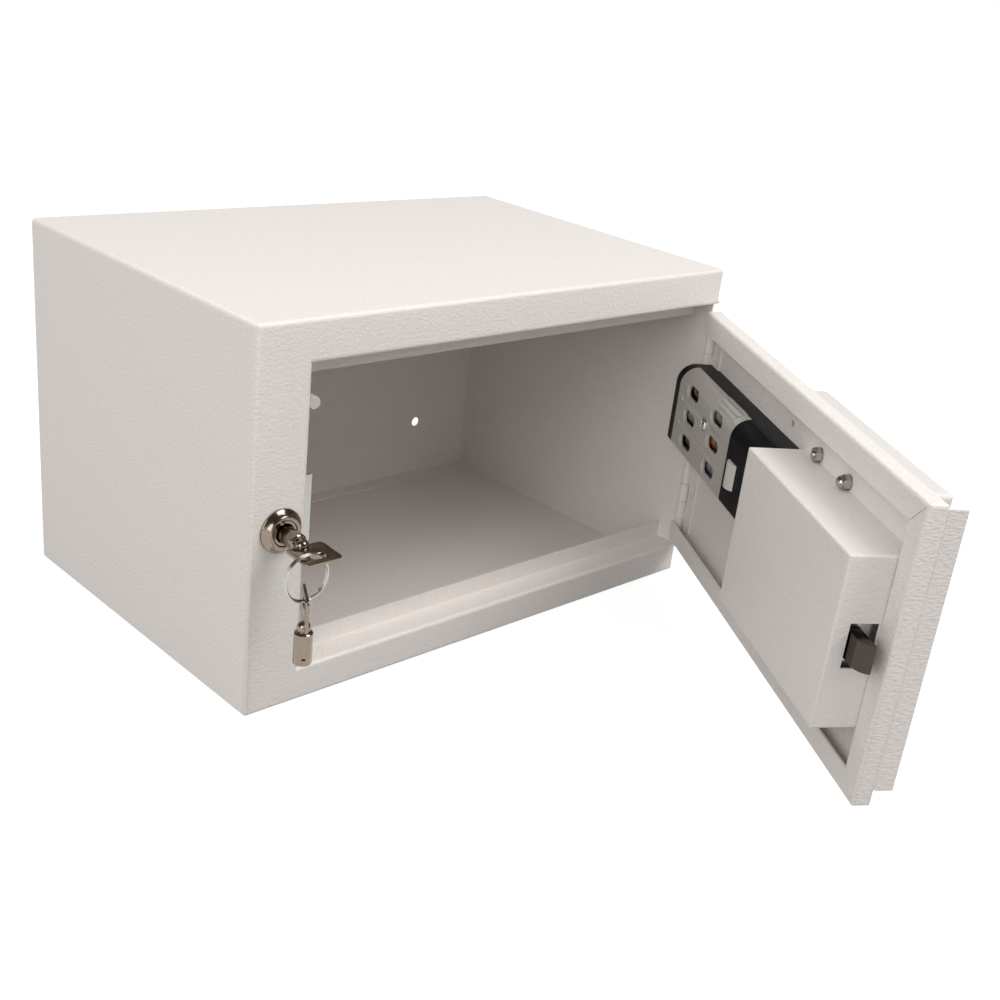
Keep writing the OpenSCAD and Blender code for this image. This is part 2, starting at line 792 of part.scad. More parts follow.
// studs that hold the keypad housing through the door's skin
module door_studs() {
    color("silver") on_door() keypad_bosses(pad_v + pad_t + 0.1, skin_v + 5, stud_r);
}

module stud_washers() {
    color("silver") on_door() difference() {
        keypad_bosses(skin_v, skin_v + 0.8, 3.9);
        keypad_bosses(skin_v - 1, skin_v + 2, stud_r + 0.15);
    }
}

module hex_nuts() {
    v0 = skin_v + 0.8;
    color("silver") on_door() difference() {
        union() {
            for (u = [stud_u0, stud_u1]) {
                hex_y(-u, stud_z0, v0, v0 + 3.2, 7);
            }
            hex_y(-stud_u0, stud_z1, v0, v0 + 3.2, 7);
        }
        keypad_bosses(v0 - 1, v0 + 5, stud_r + 0.02);
    }
}

// domed nut on the stud nearest the latch
module cap_nut() {
    v0 = skin_v + 0.8;
    color("silver") on_door() difference() {
        union() {
            hex_y(-stud_u1, stud_z1, v0, v0 + 3.2, 7);
            translate([-stud_u1, v0 + 3.2, stud_z1]) sphere(r = 3.2);
        }
        rod_y(-stud_u1, stud_z1, v0 - 2, skin_v + 5.1, stud_r + 0.02);
    }
}

// section of the battery box: depth along X, height along Y
module pack_section(inset) {
    d = pack_d - inset;
    h = pack_h - 2 * inset;
    r = pack_r - inset;
    b = 3 - inset;
    translate([skin_v, pack_z0 + inset]) {
        square([d - r, h]);
        translate([0, b]) square([d, h - b - r]);
        square([d - b, 10]);
        translate([d - r, h - r]) circle(r);
        translate([d - b, b]) circle(b);
    }
}

module pack_bar(u0, u1, inset) {
    translate([-u1, 0, 0]) rotate([90, 0, 90]) linear_extrude(u1 - u0) pack_section(inset);
}

// tray of the battery box, with the closed part that runs to the latch cover
module battery_base() {
    floor_v = skin_v + 2;
    color("black") on_door() {
        difference() {
            pack_bar(pack_u0, pack_u1, 0);
            difference() {
                pack_bar(pack_u0 + 1.7, pack_u1 - 2, 1.7);
                dspan(pack_u0, pack_u1, skin_v - 1, floor_v, 0, body_h);
            }
            dspan(lid_u0, lid_u1, lid_v, 60, 0, body_h);
            dspan(0, leaf_w + 0.4, skin_v - 1, skin_v + leaf_t + 0.15, 0, body_h);
            dspan(clip_u - 0.3, clip_u + 6.8, pack_v1 - 4, pack_v1 + 4, clip_z - 4.4, clip_z + 4.4);
            rod_x(-pack_u1 - 3, -pack_u1 + 3, 0, cable_z, cable_hole_r);
        }
        for (u = [lid_u0 - 1.5, cell_end + 0.7]) {
            dspan(u, u + 1.5, floor_v - 0.1, lid_v - 0.5, pack_z0 + 1, pack_z1 - 1);
        }
        for (u = [cell_u0 + 12, cell_u0 + 38, cell_u0 + cell_l + 12, cell_u0 + cell_l + 38]) {
            dspan(u, u + 2, floor_v - 0.1, cell_v - cell_r, pack_z0 + 1, pack_z1 - 1);
        }
    }
}

// slot with round ends through the lid, drawn at its middle
module lid_window(u, z, half, r, v0) {
    dspan(u - half, u + half, v0, 50, z - r, z + r);
    for (x = [u - half, u + half]) {
        rod_y(-x, z, v0, 50, r);
    }
}

// lid with six long windows, hollows between the rows and thumb ribs
module battery_cover() {
    rib_l = 28;
    color("darkgray") on_door() {
        difference() {
            pack_bar(lid_u0 + 0.1, lid_u1 - 0.1, 0);
            pack_bar(lid_u0 - 5, lid_u1 + 5, lid_t);
            dspan(lid_u0 - 9, lid_u1 + 9, skin_v - 5, lid_v + 0.05, 0, body_h);
            for (u = [cell_u0 + 22.4, cell_end - 34.8]) {
                for (i = [0 : 2]) {
                    lid_window(u, cell_z - i * cell_pitch, 4.8, 3.7, 5);
                    lid_window(u, cell_z - i * cell_pitch, 5.8, 4.7, pack_v1 - 0.7);
                }
            }
            for (i = [0.5, 1.5]) {
                rod_x(8 - lid_u1, -lid_u0 - 8, pack_v1 + 2.3, cell_z - i * cell_pitch, 2.8);
            }
            rod_y(-pack_screw_u, pack_screw_z, 5, 50, 1.3);
            rod_y(-pack_screw_u, pack_screw_z, pack_v1 - 0.6, 50, 3.9);
        }
        for (a = [8, 24, 40]) {
            translate([6 - lid_u1, pack_v1 - pack_r, pack_z1 - pack_r]) rotate([-a, 0, 0]) {
                translate([0, -1.2, pack_r - 0.6]) cube([rib_l, 2.4, 1.4]);
            }
        }
    }
}

module pack_screw() {
    color("silver") on_door() {
        rod_y(-pack_screw_u, pack_screw_z, pack_v1 - 4.1, pack_v1, 1.2);
        rod_y(-pack_screw_u, pack_screw_z, pack_v1 - 0.5, pack_v1 + 1.6, 3.6);
    }
}

// catch that lets the lid go when it is pushed aside
module release_clip() {
    color("beige") on_door() {
        intersection() {
            dspan(clip_u - 1, clip_u + 10.4, pack_v1 + 0.1, pack_v1 + 3, clip_z - 7.5, clip_z + 7.5);
            translate([-clip_u - 4.2, pack_v1 - 5, 0]) cylinder(r = 8, h = body_h);
        }
        dspan(clip_u, clip_u + 4.5, pack_v1 - 2.2, pack_v1 + 0.5, clip_z - 4, clip_z + 4);
        dspan(clip_u - 1, clip_u + 5.5, pack_v1 - 2.25, pack_v1 - 1.75, clip_z - 6, clip_z + 6);
    }
}

// contact plates with a small cone of spring steel for each cell
module cell_contacts() {
    color("silver") on_door() {
        dspan(lid_u0 + 0.1, lid_u0 + 0.6, cell_v - 6, cell_v + 5, pack_z0 + 3, pack_z1 - 4);
        dspan(cell_end + 0.1, cell_end + 0.6, cell_v - 6, cell_v + 4, pack_z0 + 3, pack_z1 - 4);
        for (i = [0 : 2]) {
            translate([-lid_u0 - 2.3, cell_v, cell_z - i * cell_pitch]) rotate([0, 90, 0]) {
                cylinder(r1 = 2, r2 = 4.5, h = 1.9);
            }
        }
    }
}

// one cell: a can with its nub towards the next one
module cell(column, row) {
    u = cell_u0 + column * cell_l;
    z = cell_z - row * cell_pitch;
    color("slategray") on_door() {
        rod_x(-u - cell_l + 1.4, -u - 0.05, cell_v, z, cell_r);
        rod_x(-u - cell_l + 0.05, -u - 2, cell_v, z, 2.7);
    }
}

module cell_1() { cell(0, 0); }
module cell_2() { cell(0, 1); }
module cell_3() { cell(0, 2); }
module cell_4() { cell(1, 0); }
module cell_5() { cell(1, 1); }
module cell_6() { cell(1, 2); }

// lead from the battery box into the cover and through the skin to the board
module power_cable() {
    color("black") on_door() {
        rod_x(-cable_u, 3 - pack_u1, 0, cable_z, 1.6);
        translate([-cable_u, 0, cable_z]) sphere(r = 1.6);
        rod_y(-cable_u, cable_z, board_v + board_t, 0, 1.6);
    }
}

body_shell();
door_frame();
back_panel();
hinge_leaf_fixed();
hinge_pin();
strike_plate();
strike_screws();
stop_bumpers();
lock_body();
lock_nut();
lock_plug();
lock_cam();
cam_screw();
lock_key();
key_ring();
spare_key();
door_pan();
pull_strip();
hinge_leaf_door();
lock_cover();
cover_screws();
latch_case();
latch_bolt();
latch_spring();
lock_motor();
knob_spindle();
knob();
keypad_housing();
status_lens();
circuit_board();
board_spacers();
door_studs();
stud_washers();
hex_nuts();
cap_nut();
battery_base();
battery_cover();
pack_screw();
release_clip();
cell_contacts();
cell_1();
cell_2();
cell_3();
cell_4();
cell_5();
cell_6();
power_cable();
key_1();
key_2();
key_3();
key_4();
key_5();
key_6();
key_7();
key_8();
key_9();
key_10();
key_11();
key_12();
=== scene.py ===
import json
from math import cos, pi, radians, sin

import bmesh
import bpy
import numpy as np
from mathutils import Matrix

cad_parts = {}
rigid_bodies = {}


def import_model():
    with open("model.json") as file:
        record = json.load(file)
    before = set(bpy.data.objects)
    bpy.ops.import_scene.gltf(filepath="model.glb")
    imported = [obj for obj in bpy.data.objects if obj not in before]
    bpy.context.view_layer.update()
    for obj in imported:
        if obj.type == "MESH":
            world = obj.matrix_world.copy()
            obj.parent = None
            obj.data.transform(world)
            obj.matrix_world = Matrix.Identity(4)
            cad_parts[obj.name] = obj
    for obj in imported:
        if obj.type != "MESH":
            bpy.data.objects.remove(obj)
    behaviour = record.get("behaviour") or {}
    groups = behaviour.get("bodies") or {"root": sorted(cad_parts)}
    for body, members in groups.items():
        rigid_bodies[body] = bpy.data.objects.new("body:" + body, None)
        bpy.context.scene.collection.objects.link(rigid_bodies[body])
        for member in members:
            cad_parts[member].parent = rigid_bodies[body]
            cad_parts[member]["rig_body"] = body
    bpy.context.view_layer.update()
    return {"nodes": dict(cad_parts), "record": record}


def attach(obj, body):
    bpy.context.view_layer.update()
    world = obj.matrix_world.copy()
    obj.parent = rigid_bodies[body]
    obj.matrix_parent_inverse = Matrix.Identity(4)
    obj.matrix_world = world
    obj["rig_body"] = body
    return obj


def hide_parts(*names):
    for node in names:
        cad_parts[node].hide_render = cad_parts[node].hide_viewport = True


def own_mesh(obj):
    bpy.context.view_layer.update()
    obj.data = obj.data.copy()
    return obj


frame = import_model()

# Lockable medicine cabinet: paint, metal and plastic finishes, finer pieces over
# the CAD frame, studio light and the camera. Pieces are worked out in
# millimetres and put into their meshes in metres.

MM = 0.001
NODES = frame["nodes"]

# the door's hinge axis and the angle that it stands open at rest
HINGE_AT = np.array([165.8, -107.5])
DOOR_OPEN = radians(57.1)
# the door's directions in the row frame: along it from the hinge, inwards, up
ALONG = np.array([-cos(DOOR_OPEN), -sin(DOOR_OPEN), 0.0])
INWARD = np.array([-sin(DOOR_OPEN), cos(DOOR_OPEN), 0.0])
UP = np.array([0.0, 0.0, 1.0])


def door_point(u, v, z):
    """Door measures in mm as row points in mm: u from the hinge, v inwards, z up."""
    u, v, z = np.broadcast_arrays(*(np.asarray(a, float) for a in (u, v, z)))
    flat = u[..., None] * ALONG + v[..., None] * INWARD + z[..., None] * UP
    return flat + np.array([HINGE_AT[0], HINGE_AT[1], 0.0])


# surfaces


def ring_faces(rows, columns, closed_rows=False):
    """Four-sided faces of a grid of points: each point with its neighbours in the
    next row and the next column. The columns go round, and so do closed rows."""
    r = np.arange(rows if closed_rows else rows - 1)
    i, j = np.meshgrid(r, np.arange(columns), indexing="ij")
    i2, j2 = (i + 1) % rows, (j + 1) % columns
    quads = [i * columns + j, i * columns + j2, i2 * columns + j2, i2 * columns + j]
    return np.stack(quads, -1).reshape(-1, 4)


def basis(axis):
    """Two directions square to an axis and to each other, the first one level."""
    axis = np.asarray(axis, float) / np.linalg.norm(axis)
    level = np.cross(UP, axis)
    level = np.array([1.0, 0, 0]) if np.linalg.norm(level) < 1e-6 else level
    level = level / np.linalg.norm(level)
    return level, np.cross(axis, level), axis


def placed(at, x, y, z):
    """The matrix that puts a thing at a point, with its own axes along x, y and z."""
    m = Matrix([[*x], [*y], [*z]]).transposed().to_4x4()
    m.translation = at
    return m


def turned(profile, centre, axis, steps, outline=None):
    """A lathe shape: each (radius, height) of the profile becomes a ring of points
    centre + radius(cos a, sin a) + height along the axis. outline(a, height,
    radius) may give another radius at each angle, as for a hexagon or a thread."""
    p = np.asarray(profile, float)
    a = np.arange(steps) * 2 * pi / steps
    x, y, axis = basis(axis)
    radius = np.repeat(p[:, :1], steps, 1)
    height = np.repeat(p[:, 1:2], steps, 1)
    if outline is not None:
        radius = np.minimum(radius, outline(a[None, :], height, radius))
    points = (np.asarray(centre, float) + radius[..., None] * (
        np.cos(a)[:, None] * x + np.sin(a)[:, None] * y)
        + height[..., None] * axis)
    return points.reshape(-1, 3), ring_faces(len(p), steps)


def swept(path, section, sides):
    """A section carried along a path: at each point the section's two measures are
    laid along the two given side directions of that point. One face closes each end."""
    s = np.asarray(section, float)
    points = (path[:, None, :] + s[None, :, :1] * sides[0][:, None, :]
              + s[None, :, 1:] * sides[1][:, None, :])
    n, m = len(path), len(s)
    ends = [list(range(m)), list(range((n - 1) * m, n * m))]
    return points.reshape(-1, 3), ring_faces(n, m).tolist() + ends


def round_rectangle(w, h, r):
    """Points of a rectangle about the origin whose corners are arcs of radius r, with
    six points on each arc."""
    a = np.linspace(0, pi / 2, 6)
    turns = []
    for k, (sx, sy) in enumerate([(1, 1), (-1, 1), (-1, -1), (1, -1)]):
        b = a + k * pi / 2
        turns.append(np.stack([sx * (w / 2 - r) + r * np.cos(b),
                               sy * (h / 2 - r) + r * np.sin(b)], -1))
    return np.concatenate(turns)


def wire_section(radius, points):
    """The round section of a wire, as so many points on a circle."""
    a = np.arange(points) * 2 * pi / points
    return radius * np.stack([np.cos(a), np.sin(a)], -1)


# an edge that turns by fewer degrees than this shades round
ROUND_DRAWN, ROUND_CAD, ROUND_PRINT = 35, 32, 30


def piece(name, body, finish, parts, stands_for=()):
    """Joins (points in mm, faces) parts into one mesh at the origin, gives it its
    finish, and lets it ride on its body. Doubles at poles and seams are merged and
    the faces are turned outwards."""
    points, faces, start = [], [], 0
    for p, f in parts:
        points.append(np.asarray(p, float))
        faces += [[int(i) + start for i in row] for row in f]
        start += len(p)
    mesh = bpy.data.meshes.new(name)
    mesh.from_pydata((np.concatenate(points) * MM).tolist(), [], faces)
    b = bmesh.new()
    b.from_mesh(mesh)
    bmesh.ops.remove_doubles(b, verts=b.verts, dist=2e-6)
    bmesh.ops.recalc_face_normals(b, faces=b.faces)
    b.to_mesh(mesh)
    b.free()
    return dress(name, mesh, body, finish, stands_for, ROUND_DRAWN)


def dress(name, mesh, body, finish, stands_for, round_under):
    """Makes the object of a finished mesh and hangs it on its body."""
    mesh.shade_smooth()
    mesh.set_sharp_from_angle(angle=radians(round_under))
    mesh.materials.clear()
    mesh.materials.append(finish)
    made = bpy.data.objects.new(name, mesh)
    bpy.context.scene.collection.objects.link(made)
    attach(made, body)
    if stands_for:
        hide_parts(*stands_for)
    return made


def eased(node, finish, width, steps=2):
    """A copy of a CAD node with its triangles joined into faces and its sharp edges
    rounded by width in mm, as a deburred, moulded or painted edge is."""
    source = NODES[node]
    mesh = source.data.copy()
    b = bmesh.new()
    b.from_mesh(mesh)
    bmesh.ops.remove_doubles(b, verts=b.verts, dist=1e-6)
    bmesh.ops.dissolve_limit(b, angle_limit=radians(0.6), verts=b.verts, edges=b.edges)
    b.to_mesh(mesh)
    b.free()
    made = dress(node + "_surface", mesh, source["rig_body"], finish, (node,), ROUND_CAD)
    bevel = made.modifiers.new("eased edges", "BEVEL")
    bevel.width = width * MM
    bevel.segments = steps
    bevel.limit_method = "ANGLE"
    bevel.angle_limit = radians(ROUND_CAD)
    bevel.harden_normals = True
    return made


# finishes


def hex_colour(code):
    """An sRGB hex value as the linear colour that Blender works in."""
    c = np.array([int(code[i:i + 2], 16) for i in (1, 3, 5)]) / 255
    linear = np.where(c <= 0.04045, c / 12.92, ((c + 0.055) / 1.055) ** 2.4)
    return (*linear.tolist(), 1.0)


def add(tree, kind, plugs=None, **settings):
    """Adds a shader node, sets its own settings, and fills each socket in plugs
    with a value, or links it where the value is another node's output."""
    new = tree.nodes.new("ShaderNode" + kind)
    for name, value in settings.items():
        setattr(new, name, value)
    for name, value in (plugs or {}).items():
        if isinstance(value, bpy.types.NodeSocket):
            tree.links.new(value, new.inputs[name])
        else:
            new.inputs[name].default_value = value
    return new


def new_finish(name):
    """An empty material and the points of the object that carries it, in metres."""
    made = bpy.data.materials.new(name)
    made.use_nodes = True
    made.node_tree.nodes.clear()
    tree = made.node_tree
    return made, tree, add(tree, "TexCoord").outputs["Object"]


def surface_out(tree, plugs):
    """The shader of a finish, joined to the material's output."""
    shader = add(tree, "BsdfPrincipled", plugs)
    add(tree, "OutputMaterial", {"Surface": shader.outputs[0]})


def between(tree, mask, low, high):
    """A colour that goes from one hex value to another with a mask."""
    mix = add(tree, "Mix", {0: mask, 6: hex_colour(low), 7: hex_colour(high)},
              data_type="RGBA")
    return mix.outputs[2]


def spread(tree, value, low, high, to_low, to_high):
    """A mask stretched from one range to another and held at its ends."""
    return add(tree, "MapRange", {"Value": value, "From Min": low, "From Max": high,
                                  "To Min": to_low, "To Max": to_high}).outputs[0]


def noise(tree, where, size, detail, rough=0.5):
    """Cloudy variation whose patches are about size mm across."""
    return add(tree, "TexNoise", {"Vector": where, "Scale": 1 / (size * MM),
                                  "Detail": detail, "Roughness": rough}).outputs[0]


def powder_coat(name, low, high, relief, tall, long):
    """Polyester powder coat, sprayed dry and baked: it draws up into a close even
    wrinkle, so that light breaks into small soft ripples with no clear mirror.
    The ripples are tall mm high, long mm wide and up to relief mm deep, about as
    coarse as the photograph shows them."""
    made, tree, at = new_finish(name)
    drawn = add(tree, "Mapping", {"Vector": at, "Scale": (tall / long, tall / long, 1.0)})
    ripple = noise(tree, drawn.outputs[0], tall, 1.0, 0.35)
    grain = noise(tree, at, 0.5, 1.0)
    height = add(tree, "Math", {0: grain, 1: 0.12, 2: ripple}, operation="MULTIPLY_ADD")
    bump = add(tree, "Bump", {"Height": height.outputs[0], "Distance": relief * MM})
    surface_out(tree, {
        "Base Color": between(tree, spread(tree, ripple, 0.35, 0.65, 0, 1), low, high),
        "Roughness": spread(tree, ripple, 0.3, 0.7, 0.46, 0.52),
        "Normal": bump.outputs[0]})
    return made


def plated(name, low, high, rough, scratch):
    """Plated metal: a thin bright skin that follows the fine turning and handling
    marks under it, so highlights are drawn out and a little uneven. The marks are
    drawn as coarse as they need to show; scratch is their depth in mm."""
    made, tree, at = new_finish(name)
    long_marks = add(tree, "Mapping", {"Vector": at, "Scale": (1.0, 1.0, 9.0)})
    marks = noise(tree, long_marks.outputs[0], 1.2, 3.0, 0.6)
    bump = add(tree, "Bump", {"Height": marks, "Distance": scratch * MM})
    surface_out(tree, {
        "Base Color": between(tree, spread(tree, marks, 0.35, 0.65, 0, 1), low, high),
        "Metallic": 1.0,
        "Roughness": spread(tree, marks, 0.35, 0.65, rough, rough + 0.07),
        "Normal": bump.outputs[0]})
    return made


def moulded(name, low, high, rough, grain, relief, metallic=0.0, shine=0.5):
    """Injection-moulded plastic with the fine spark texture of its mould: an even
    colour with a broad soft sheen, and a speckle grain mm wide and relief mm deep,
    too fine to see one by one. With metallic it is silver paint over that texture,
    bright only where it mirrors light."""
    made, tree, at = new_finish(name)
    speckle = noise(tree, at, grain, 2.0, 0.6)
    bump = add(tree, "Bump", {"Height": speckle, "Distance": relief * MM})
    surface_out(tree, {
        "Base Color": between(tree, spread(tree, speckle, 0.3, 0.7, 0, 1), low, high),
        "Roughness": spread(tree, speckle, 0.3, 0.7, rough - 0.05, rough + 0.05),
        "Metallic": metallic, "Specular IOR Level": shine,
        "Normal": bump.outputs[0]})
    return made


def sleeve(name, low, high, start, width):
    """Printed shrink sleeve on a battery cell: glossy film in two plain colours,
    which change over width mm, start mm from the door's hinge."""
    made, tree, at = new_finish(name)
    door = add(tree, "Mapping", {
        "Vector": at, "Location": (-HINGE_AT[0] * MM, -HINGE_AT[1] * MM, 0)})
    turn = add(tree, "VectorRotate", {"Vector": door.outputs[0], "Angle": -DOOR_OPEN},
               rotation_type="Z_AXIS")
    along = add(tree, "SeparateXYZ", {"Vector": turn.outputs[0]}).outputs[0]
    band = spread(tree, along, -start * MM - width * MM, -start * MM, 0, 1)
    bump = add(tree, "Bump", {"Height": noise(tree, at, 1.2, 2.0), "Distance": 0.01 * MM})
    surface_out(tree, {"Base Color": between(tree, band, low, high), "Roughness": 0.22,
                       "Coat Weight": 0.4, "Coat Roughness": 0.1,
                       "Normal": bump.outputs[0]})
    return made


FINISH = {
    # warm white, matt and finely rippled
    "powder_coat": powder_coat("fine_white_powder_coat", "#EAE3DE", "#EDE7E2",
                               relief=0.26, tall=1.3, long=1.86),
    # the same white with long level ripples that catch light along the door's edge
    "door_coat": powder_coat("rippled_white_powder_coat", "#EAE3DE", "#EDE7E2",
                             relief=0.36, tall=1.2, long=2.6),
    # light cool grey metal with a soft shine
    "zinc_steel": plated("zinc_plated_steel", "#B3B1AC", "#C6C4BF", 0.2, 0.004),
    # brown-black metal with a dull shine
    "dark_bolt": plated("dark_nickel_plated_zinc", "#423D38", "#504A43", 0.2, 0.003),
    # warm silver, nearly a mirror; its colour is darkened to a warm brown as a painted dark
    # reflection of the room
    "nickel": plated("nickel_plate_painted_dark_reflection", "#85786A", "#9C9083", 0.12, 0.0015),
    # dark wire that glints
    "spring_steel": plated("drawn_spring_steel", "#7E7D7A", "#94938F", 0.3, 0.004),
    # pale, soft and without shine
    "stop_rubber": moulded("moulded_pale_rubber", "#CCC9C4", "#D4D1CC", 0.75, 0.5, 0.02),
    # deep black with a broad grey sheen
    "black_plastic": moulded("satin_black_abs", "#0B0D10", "#101215", 0.36, 0.35, 0.012,
                             shine=0.1),
    # silver grey that goes from dark to light with the way it faces
    "grey_plastic": moulded("silver_painted_abs", "#C6C3BD", "#D0CDC7", 0.34, 0.3, 0.006,
                            metallic=0.4),
    # ivory with a waxy sheen
    "pale_plastic": moulded("ivory_acetal", "#C9C5BC", "#D2CEC6", 0.42, 0.3, 0.008),
    # off-white with a broad sheen
    "housing_plastic": moulded("spark_textured_pale_abs", "#DEDBD7", "#E6E3DF", 0.42, 0.35,
                               0.012),
    # charcoal with a soft sheen
    "key_plastic": moulded("charcoal_abs_key_cap", "#383B3F", "#414448", 0.42, 0.3, 0.008),
    # green with a clear gloss
    "board": moulded("green_solder_mask_laminate", "#0F5A2E", "#156B38", 0.33, 0.4, 0.006),
    # deep red with a sharp highlight
    "lens": moulded("red_acrylic_lens", "#8E1A14", "#A32018", 0.12, 3.0, 0.001),
    # soft black
    "cable": moulded("soft_pvc_cable_sleeve", "#161617", "#1C1C1E", 0.5, 0.4, 0.01),
    # glossy film in two colours on each cell
    "cell_red": sleeve("dark_red_cell_sleeve", "#3A0C0E", "#5A1216", 20, 2),
    "cell_grey": sleeve("silver_cell_sleeve", "#77797C", "#97999C", 30, 2),
    "cell_dark": sleeve("black_cell_sleeve", "#1D1A1A", "#3A3431", 26, 2),
    "cell_orange": sleeve("copper_cell_sleeve", "#70401A", "#A4602A", 76, 3),
}
# each CAD node's finish, from the record; the door's outer sheets have longer ripples
slot_of = {s["node"]: s["material_slot"] for s in frame["record"]["subparts"]}
slot_of["door_pan"] = slot_of["pull_strip"] = "door_coat"
for name, node in NODES.items():
    node.data.materials.clear()
    node.data.materials.append(FINISH[slot_of[name]])


# edges of the CAD nodes

# how round each node's edges are, in mm: paint builds up on the edge of a sheet, and
# moulded and cast edges have a round of their own
for name, width in {
    "body_shell": 0.35, "door_frame": 0.35, "back_panel": 0.35, "door_pan": 0.4,
    "pull_strip": 0.4, "lock_cover": 0.3, "hinge_leaf_fixed": 0.25,
    "hinge_leaf_door": 0.25, "strike_plate": 0.2, "latch_case": 0.2,
    "battery_base": 0.3, "battery_cover": 0.3, "release_clip": 0.3,
    "keypad_housing": 0.5, "knob": 0.8, "latch_bolt": 0.45, "lock_cam": 0.3,
    "stop_bumpers": 0.4, "knob_spindle": 0.2, "circuit_board": 0.1,
    "lock_motor": 0.3,
}.items():
    eased(name, FINISH[slot_of[name]], width)
for n in range(1, 13):
    eased("key_%d" % n, FINISH["key_plastic"], 0.7, steps=3)


# the door's free side face, from the hinge, and the seam's line across the sheets
DOOR_SIDE, SEAM_V = 297.5, -4.35


def seam_paint():
    """Paint that fills the groove between the door's side and its finger strip: a
    slim bar along the seam, whose outer face lies a little under both sheets."""
    z = [corner[2] / MM for corner in NODES["pull_strip"].bound_box]
    path = door_point(DOOR_SIDE, SEAM_V, [min(z) + 0.4, max(z) - 0.4])
    section = [(-3, -0.6), (-0.35, -0.6), (-0.45, 0.3), (-0.3, 1.7), (-3, 1.7)]
    return swept(path, section, (np.tile(ALONG, (2, 1)), np.tile(INWARD, (2, 1))))


piece("seam_paint", "door", FINISH["door_coat"], [seam_paint()])


# key lock


# where the lock's axis meets the front sheet, and the way out of the cabinet
LOCK_AT = np.array([-150.5, -107.5, 100.0])
OUT = np.array([0.0, -1.0, 0.0])
# radii of the lock's bezel, barrel and bore, of its plug, and of the plug's keyway
BEZEL_R, BARREL_R, BORE_R = 11.5, 8.8, 6.65
PLUG_R, KEYWAY_R, POST_R = 6.6, 4.9, 3.1
# how far the barrel and the plug reach behind the sheet, and the keyway's depth
BARREL_DEEP, PLUG_DEEP, KEYWAY_DEEP = 13, 13.3, 3.3


def lock_case():
    """The lock's bezel, a cone with a flat lip and a rolled front edge, on its
    barrel: one lathe profile from the lip inwards and back down the bore."""
    profile = [(BARREL_R, -BARREL_DEEP), (BARREL_R, 0), (BEZEL_R - 0.4, 0),
               (BEZEL_R - 0.05, 0.25), (BEZEL_R, 0.6), (BEZEL_R, 1.0), (BEZEL_R - 0.2, 1.35),
               (BEZEL_R - 0.6, 1.6), (9.3, 3.9), (8.95, 4.4), (8.6, 4.72), (8.2, 4.8),
               (7.2, 4.8), (6.9, 4.7), (6.7, 4.45), (BORE_R, 4.1), (BORE_R, -BARREL_DEEP),
               (BARREL_R, -BARREL_DEEP)]
    return turned(profile, LOCK_AT, OUT, 96)


def lock_face():
    """The turning plug: a dished disc with the ring-shaped keyway cut round a post."""
    profile = [(0, -PLUG_DEEP), (PLUG_R, -PLUG_DEEP), (PLUG_R, 4.0), (PLUG_R - 0.2, 4.3),
               (5.2, 4.3), (5.0, 4.1), (KEYWAY_R, 3.8), (KEYWAY_R, -KEYWAY_DEEP),
               (POST_R, -KEYWAY_DEEP), (POST_R, 3.8), (POST_R - 0.2, 4.1), (0, 4.2)]
    return turned(profile, LOCK_AT, OUT, 72)


piece("lock_case_turned", "cabinet", FINISH["nickel"], [lock_case()], ["lock_body"])
piece("lock_plug_turned", "lock_core", FINISH["nickel"], [lock_face()], ["lock_plug"])


# radii of the key's barrel and of its hollow, and the barrel's length
KEY_R, HOLLOW_R, KEY_LONG = 4.6, 3.4, 20
# the key's flat grip, called its bow, and the round of the bow's corners
BOW_W, BOW_LONG, BOW_T, BOW_CORNER = 21, 18, 1.5, 2.5
# the slot through the bow: its width, half the distance between its two round
# ends, and the rim between it and the bow's end
SLOT_W, SLOT_HALF, SLOT_RIM = 4.6, 2.0, 3.7


def bow_outline():
    """Outline of the key's bow and of the slot through it, as two loops with the
    same number of points, so that faces can run from one to the other. The slot is
    a circle whose left and right halves are moved apart."""
    outer = round_rectangle(BOW_W, BOW_LONG, BOW_CORNER)
    a = np.arange(len(outer)) * 2 * pi / len(outer) + pi / len(outer)
    slot_y = SLOT_RIM + SLOT_W / 2 - BOW_LONG / 2
    inner = np.stack([np.sign(np.cos(a)) * SLOT_HALF + SLOT_W / 2 * np.cos(a),
                      slot_y + SLOT_W / 2 * np.sin(a)], -1)
    return outer, inner


